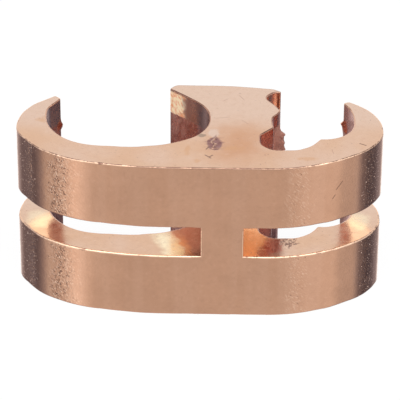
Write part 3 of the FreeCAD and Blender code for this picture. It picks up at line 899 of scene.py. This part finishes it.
def make_copper_skin():
    """The skin of the drawn profile: satin copper, pitted in places, redder in the grooves."""
    metal = Metal("copper_skin")
    hollow = metal.attribute("hollow")
    front = metal.within(y=FRONT_Y)
    metal.colour = metal.blend(metal.patches(5, 0.3, 0.7, detail=3), SKIN_DEEP, SKIN_LIGHT)
    metal.tint(metal.patches(2.6, 0.36, 0.66, stretch=DRAWN, detail=3, shift=31.0), SKIN_STRIPE)
    metal.mottle(SKIN_DARK_MOTTLE, SKIN_PALE_MOTTLE, 0.7, detail=4, roughness=0.7, shift=17.0)

    # The grooves, and the painted shade and painted gold reflection high on the seat's rear wall.
    grey_arm = metal.within(x=LEFT_ARM_X, z=LEFT_ARM_Z)
    in_groove = metal.scaled(hollow, GROOVE_COVER)
    metal.colour = metal.blend(in_groove, metal.colour, groove_colour(metal, grey_arm))
    seat_shade, gold_reflection = seat_places(metal)
    metal.tint(seat_shade, SEAT_SHADE)
    gold_reflection_cloud = metal.between(metal.slanted_noise(0.55, 1.4, 24.0), 0.36, 0.56)
    gold_reflection_colour = metal.blend(gold_reflection_cloud, GOLD_REFLECTION_DARK, GOLD_REFLECTION_PALE)
    metal.colour = metal.blend(gold_reflection, metal.colour, gold_reflection_colour)

    # The pits, with bright flecks between them, painted as glints.
    pitted = metal.both(pitted_places(metal, front, hollow), metal.without(metal.both(hollow, grey_arm)),
                        metal.without(seat_shade))
    threshold = metal.math("SUBTRACT", PIT_LEVEL, metal.scaled(pitted, PIT_SINK))
    above = metal.math("SUBTRACT", metal.slanted_noise(0.23, 0.55, 1.0), threshold)
    pit = metal.both(metal.between(above, 0.0, PIT_BORDER), metal.without(seat_shade))
    lit = metal.between(metal.slanted_noise(0.22, 0.5, 21.0), 0.53, 0.63)
    metal.tint(metal.both(lit, pitted), SKIN_GLINT)

    # The brighter orange mouth of the right groove, the greyer burr in it, the pits' own colour and the pale
    # spots of painted glints where both ends turn away from the front.
    mouth = metal.both(hollow, metal.within(x=MOUTH_X, y=MOUTH_Y, z=MOUTH_Z))
    metal.tint(mouth, GROOVE_MOUTH)
    sides = [metal.within(x=x, y=y) for x, y in zip(GREY_BURR_X, GREY_BURR_Y)]
    burr = metal.both(hollow, metal.within(z=GREY_BURR_Z), *sides)
    metal.tint(burr, BURR_GREY)
    metal.tint(pit, SKIN_PIT)
    # Pale spots at both ends, painted glints.
    glint_dots = metal.patches(0.3, 0.66, 0.70, detail=2, roughness=0.6, shift=33.0)
    at_ends = metal.strip(metal.math("ABSOLUTE", metal.x), *END_GLINT_DOTS)
    glint_dots = metal.both(at_ends, glint_dots, metal.without(hollow))
    metal.tint(glint_dots, SKIN_GLINT_DOT)
    scratches = metal.strokes(metal.x, metal.z, FAINT_WIDTH, FRONT_SCRATCHES)
    metal.tint(metal.both(front, scratches), SKIN_SCRATCH)

    # Bumps: a slow swell, drawn lines, grain that is deeper among the pits, and the pits themselves.
    metal.bump(metal.noise(2.2, stretch=(1, 1, 2.5), detail=1, shift=7.0), 0.010)
    metal.bump(metal.noise(0.5, stretch=DRAWN_LINE, detail=2, shift=3.0), 0.002)
    grain_depth = metal.shifted(metal.scaled(metal.both(pitted, metal.without(mouth)), 0.035), 0.012)
    metal.bump(metal.both(metal.noise(0.28, detail=3, roughness=0.6), grain_depth), 1.0)
    metal.bump(metal.scaled(pit, -1.0), 0.03)
    satin = metal.satin(1.5, 0.16, 0.24, shift=9.0)
    satin = metal.shifted(satin, metal.scaled(hollow, 0.08))
    satin = metal.shifted(satin, metal.scaled(metal.either(gold_reflection, burr, glint_dots), 0.6))
    return metal.finish(satin)


# Places on the sawn faces, in millimetres. A blob is (its middle, half its size).
TOP_Z = (24.0, 26.0)
SLOT_FLOOR_Z = (9.5, 12.0, 0.5)
SLOT_ROOF_Z = (15.0, 17.5, 0.5)
REAR_Y = (-4.0, 3.5)
WARM_BLOB = ((6.2, -5.5), (8.5, 10.0))
# The roofs are painted pale, as light for the floors to mirror, by a share, and palest far right and left of
# the web.
ROOF_SHARE = 0.8
PALE_ROOF_X = ((18.0, 20.0), (4.0, 3.0))
END_BLOBS = (((-25.2, -2.4), (2.6, 3.4)), ((25.2, -1.8), (2.4, 3.2)))
# The gilt place left of the web, a painted reflection, has slanting borders: their zero by X, and how far
# they lean with Y.
SLANT_X = -6.0
SLANT_LEAN = 0.36
SLANT_FRAY = 2.0
GILT_SLANT = ((-4.5, -2.4), (0.3, -0.3))
GILT_Y = (-4.5, -7.5)
GILT_X = (2.0, 1.0)
# The painted orange fringe of the gilt place: its strip along the slant, and where it starts and is full by Y
# and X.
FRINGE_SLANT = (0.3, 0.9, 0.5)
FRINGE_Y = (-5.0, -9.0)
FRINGE_X = (1.5, 0.5)
# The painted orange reflection of the web on the right floor, as a strip by X:
ORANGE_FLOOR_X = (6.5, 10.4, 0.5)
# Where the painted red shade lies on the right floor:
RED_BLOB = ((11.6, -9.2), (1.6, 2.6))
STAIN_BLOB = ((14.1, -7.4), (1.5, 2.4))
SMUDGE_BLOB = ((0.35, -2.9), (0.85, 0.65))
PALE_BLOB = ((2.2, -2.2), (1.15, 1.6))


def tint_slots(metal):
    """The slots: roofs painted pale as light for the floors to mirror, painted gilt reflections at the
    floors' ends and on the left floor by the web with a painted orange fringe, and on the right floor a
    painted orange reflection of the web, painted red shade and a stain. Returns where the stain is."""
    floor = metal.within(z=SLOT_FLOOR_Z)
    roof = metal.within(z=SLOT_ROOF_Z)
    frayed = metal.swing(1.0, SLANT_FRAY, detail=4, shift=25.0)
    # On the right floor by the web: a painted orange reflection of the web's wall.
    orange = metal.strip(metal.shifted(metal.x, frayed), *ORANGE_FLOOR_X)
    metal.tint(metal.both(floor, orange), SLOT_ORANGE_REFLECTION)
    # Painted red shade on the right floor.
    metal.tint(metal.both(floor, metal.blob(*RED_BLOB, 1.0, ragged=0.7, soft=0.35)), SLOT_RED_SHADE)
    # The roofs, painted pale as light for the floors to mirror.
    palest = [metal.within(x=pair) for pair in PALE_ROOF_X]
    metal.tint(metal.both(roof, metal.either(*palest, ROOF_SHARE)), ROOF_PAINTED_LIGHT)

    # On the left floor by the web and at the floors' ends: painted gilt reflections, and along their slant a
    # painted orange fringe.
    slant = metal.shifted(metal.shifted(metal.x, -SLANT_X), metal.scaled(metal.y, SLANT_LEAN))
    slant = metal.shifted(slant, frayed)
    borders = [metal.between(slant, *pair) for pair in GILT_SLANT]
    by_web = metal.both(*borders, metal.within(x=GILT_X, y=GILT_Y))
    ends = metal.either(*[metal.blob(*place, 2.0, ragged=0.3, soft=0.6) for place in END_BLOBS])
    metal.tint(metal.both(floor, metal.either(by_web, metal.scaled(ends, 0.6))), SLOT_GILT_REFLECTION)
    fringe = metal.both(metal.strip(slant, *FRINGE_SLANT), metal.within(x=FRINGE_X, y=FRINGE_Y))
    metal.tint(metal.both(floor, fringe), SLOT_FRINGE_REFLECTION)
    scrawl = metal.patches(0.45, 0.47, 0.55, detail=3, roughness=0.7, shift=23.0)
    stain = metal.both(floor, metal.blob(*STAIN_BLOB, 0.9, ragged=0.8, soft=0.35), scrawl)
    metal.tint(stain, SLOT_STAIN)
    return stain


def tint_top(metal, bruise, specks):
    """The top: stains, scratches, the bruised nick, a smudge and a small mark beside it, and specks."""
    top = metal.within(z=TOP_Z)
    stains = [metal.blob(*place, 0.9, ragged=0.8, soft=0.8) for place in ORANGE_STAINS]
    metal.tint(metal.both(top, metal.either(*stains)), TOP_ORANGE)
    metal.tint(metal.both(top, metal.blob(*PALE_BLOB, 0.8, ragged=0.4, soft=0.5)), TOP_PALE)
    faint = metal.strokes(metal.x, metal.y, FAINT_WIDTH, FAINT_SCRATCHES)
    metal.tint(metal.both(top, faint), TOP_FAINT)
    metal.tint(bruise, TOP_BRUISE)
    metal.tint(metal.both(top, metal.blob(*SMUDGE_BLOB, 0.5, ragged=0.5, soft=0.5)), TOP_SMUDGE)
    dark = metal.strokes(metal.x, metal.y, DARK_WIDTH, DARK_SCRATCHES)
    metal.tint(metal.both(top, dark), TOP_MARK)
    metal.tint(specks, TOP_SPECK)


def make_copper_cut():
    """The sawn and finished faces: fresh bright copper with faint scratches and stains, and painted light and
    shade in the slots.
    """
    metal = Metal("copper_cut")
    bruise = metal.attribute("bruise")
    cloud = metal.patches(9, 0.35, 0.65, detail=2, shift=2.0)
    metal.colour = metal.blend(cloud, CUT_DEEP, CUT_LIGHT)
    metal.tint(metal.within(y=REAR_Y), CUT_REAR)
    metal.tint(metal.blob(*WARM_BLOB, 3.5, ragged=0.35, soft=1.0), CUT_WARM)
    stain = tint_slots(metal)
    metal.mottle(CUT_DARK_MOTTLE, CUT_PALE_MOTTLE, 1.0, detail=5, roughness=0.65, shift=18.0)
    specks = metal.patches(0.4, 0.70, 0.75, detail=2, roughness=0.6, shift=11.0)
    tint_top(metal, bruise, specks)

    # Bumps: a slow swell, grain, the drag marks of finishing, and the specks and the stain.
    metal.bump(metal.noise(3.0, detail=1, shift=5.0), 0.006)
    metal.bump(metal.noise(0.35, detail=3, roughness=0.6, shift=4.0), 0.003)
    drag = metal.patches(0.22, 0.6, 0.75, stretch=DRAGGED, detail=2, roughness=0.6, shift=12.0)
    metal.bump(drag, 0.004)
    metal.bump(metal.scaled(metal.either(specks, stain), -1.0), 0.02)
    satin = metal.satin(1.2, 0.12, 0.2, shift=6.0)
    return metal.finish(metal.shifted(satin, metal.scaled(metal.either(bruise, stain), 0.15)))


# Places on the broken edges, in millimetres.
TOP_RIM_Z = (25.0, 26.0)
# The middle of the top edges, where the painted highlights give way to painted shade by a share:
SHADED_RIM_X = (-8.0, 14.0, 5.0)
SHADED_RIM_SHARE = 0.6
BASE_RIM_Z = (1.0, 0.7)
ROOF_RIM_Z = (15.7, 16.8, 0.2)


def make_copper_edge():
    """The broken edges: painted highlights in runs, with painted shade in the gaps, and a painted dark
    reflection along the front's top.
    """
    metal = Metal("copper_edge")
    # Runs of painted highlight with painted shade between them, and fewer highlights in the middle of the top
    # edges.
    run = metal.patches(1.3, 0.28, 0.5, detail=4, roughness=0.75, shift=13.0)
    shaded_middle = metal.scaled(metal.within(x=SHADED_RIM_X, z=TOP_RIM_Z), SHADED_RIM_SHARE)
    run = metal.both(run, metal.without(shaded_middle))
    metal.colour = metal.blend(run, EDGE_SHADE, EDGE_HIGHLIGHT)
    underneath = metal.either(metal.within(z=BASE_RIM_Z), metal.within(z=ROOF_RIM_Z))
    metal.tint(underneath, EDGE_UNDERNEATH)
    metal.tint(metal.attribute("hollow"), EDGE_HOLLOW)
    # A broken painted dark reflection on the level part of the front's top edges.
    broken = metal.patches(1.1, 0.42, 0.56, detail=3, roughness=0.7, shift=27.0)
    dark_reflection = metal.both(metal.within(z=TOP_RIM_Z), metal.frontward, metal.level, broken)
    metal.tint(dark_reflection, EDGE_DARK_REFLECTION)
    metal.bump(metal.noise(0.3, detail=3, roughness=0.6, shift=14.0), 0.03)
    return metal.finish(0.22)


def make_connector():
    """The connector itself, in place of the node that it replaces."""
    mesh = make_connector_mesh()
    for material in (make_copper_skin(), make_copper_cut(), make_copper_edge()):
        mesh.materials.append(material)
    for polygon in mesh.polygons:
        polygon.use_smooth = True
    mesh.set_sharp_from_angle(angle=SMOOTH_ANGLE)
    piece = new_object("connector_copper", mesh)
    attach(piece, "root")
    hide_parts(NODE)


def make_floor():
    """A plain white table top. The metal mirrors the studio instead, whose lower half stands for it."""
    mesh = bpy.data.meshes.new("floor")
    corners = [(x * FLOOR_HALF, y * FLOOR_HALF, 0) for x, y in ((-1, -1), (1, -1), (1, 1), (-1, 1))]
    mesh.from_pydata(corners, [], [(0, 1, 2, 3)])
    floor = new_object("floor", mesh)
    floor.visible_glossy = False
    material = bpy.data.materials.new("floor")
    material.use_nodes = True
    nodes = Nodes(material.node_tree)
    shader = material.node_tree.nodes["Principled BSDF"]
    shader.inputs["Base Color"].default_value = FLOOR_COLOUR
    shader.inputs["Roughness"].default_value = FLOOR_ROUGHNESS
    shader.inputs["Specular IOR Level"].default_value = 0.0
    white = nodes.add("ShaderNodeEmission", {"Color": (1, 1, 1, 1), "Strength": 1.0}).outputs[0]
    seen = nodes.add("ShaderNodeLightPath").outputs["Is Camera Ray"]
    share = nodes.math("MULTIPLY", seen, FLOOR_WHITE)
    mixed = nodes.add("ShaderNodeMixShader", {0: share, 1: shader.outputs[0], 2: white})
    nodes.set(material.node_tree.nodes["Material Output"].inputs["Surface"], mixed.outputs[0])
    mesh.materials.append(material)


# The studio's tone as (degrees round from straight in front, tone), below the level of the eye: soft
# white sheets lie on the table to the left and right, and dark cards beside both ends.
TABLE_TONES = (
    (-180, 1.6), (-162, 1.5), (-146, 0.6), (-127, 0.4), (-110, 0.15), (-98, 0.16), (-86, 0.32), (-79, 0.5),
    (-71, 0.8), (-62, 0.82), (-57, 0.65), (-52, 1.1), (-44, 1.42), (-36, 1.08), (-28, 0.87), (-20, 0.77),
    (0, 0.79), (18, 0.8), (28, 0.95), (45, 0.96), (58, 1.0), (66, 0.9), (72, 0.58), (79, 0.36), (88, 0.13),
    (109, 0.1), (121, 0.13), (130, 0.3), (146, 0.6), (162, 1.5), (180, 1.6),
)
# The same above the level of the eye, as (degrees up from the horizon behind and over to the front).
SKY_TONES = ((0, 1.0), (45, 1.0), (60, 0.35), (96, 0.3), (108, 2.6), (138, 2.6), (156, 0.9), (180, 0.9))
# And to both sides above the level of the eye.
SIDE_TONE = 1.0
SIDE_FROM, SIDE_FULL = 0.62, 0.92
# The level of the eye is a soft border between these heights of the direction.
EYE_LOW, EYE_HIGH = -0.12, 0.02
# The brightest tone. Tones below the second value are cooler, by up to the third.
TONE_TOP = 2.6
COOL_BELOW = 0.7
COOLNESS = 0.4


def make_studio():
    """The world: a studio of soft white and dark sheets, in tones by direction alone."""
    world = bpy.data.worlds.new("studio")
    bpy.context.scene.world = world
    world.use_nodes = True
    nodes = Nodes(world.node_tree)
    direction = nodes.add("ShaderNodeTexCoord").outputs["Generated"]
    parts = nodes.add("ShaderNodeSeparateXYZ", {0: direction})
    x, y, z = parts.outputs
    around = nodes.math("ARCTAN2", x, nodes.math("MULTIPLY", y, -1.0))
    around = nodes.math("ADD", nodes.math("DIVIDE", around, 2 * math.pi), 0.5)
    over = nodes.math("DIVIDE", nodes.math("ARCTAN2", nodes.math("MAXIMUM", z, 0.0), y), math.pi)
    below = nodes.grey_ramp(around, [((a + 180) / 360, t / TONE_TOP) for a, t in TABLE_TONES])
    above = nodes.grey_ramp(over, [(a / 180, t / TONE_TOP) for a, t in SKY_TONES])
    sideways = nodes.between(nodes.math("ABSOLUTE", x), SIDE_FROM, SIDE_FULL)
    side_grey = SIDE_TONE / TONE_TOP
    above = nodes.blend(sideways, above, (side_grey, side_grey, side_grey, 1))
    tone = nodes.blend(nodes.between(z, EYE_LOW, EYE_HIGH), below, above)
    background = world.node_tree.nodes["Background"]
    nodes.set(background.inputs["Color"], tone)
    background.inputs["Strength"].default_value = TONE_TOP


def make_lamps():
    """One broad soft lamp overhead, a little to the front."""
    lamp = bpy.data.lights.new("soft_box", "AREA")
    lamp.shape = "DISK"
    lamp.size = LAMP_SIZE
    lamp.energy = LAMP_POWER
    box = new_object("soft_box", lamp)
    box.location = LAMP_PLACE
    box.rotation_euler = (-math.atan2(LAMP_PLACE.y, LAMP_PLACE.z), 0, 0)


make_camera()
make_floor()
make_studio()
make_lamps()
make_connector()
bpy.context.scene.view_settings.view_transform = "Standard"
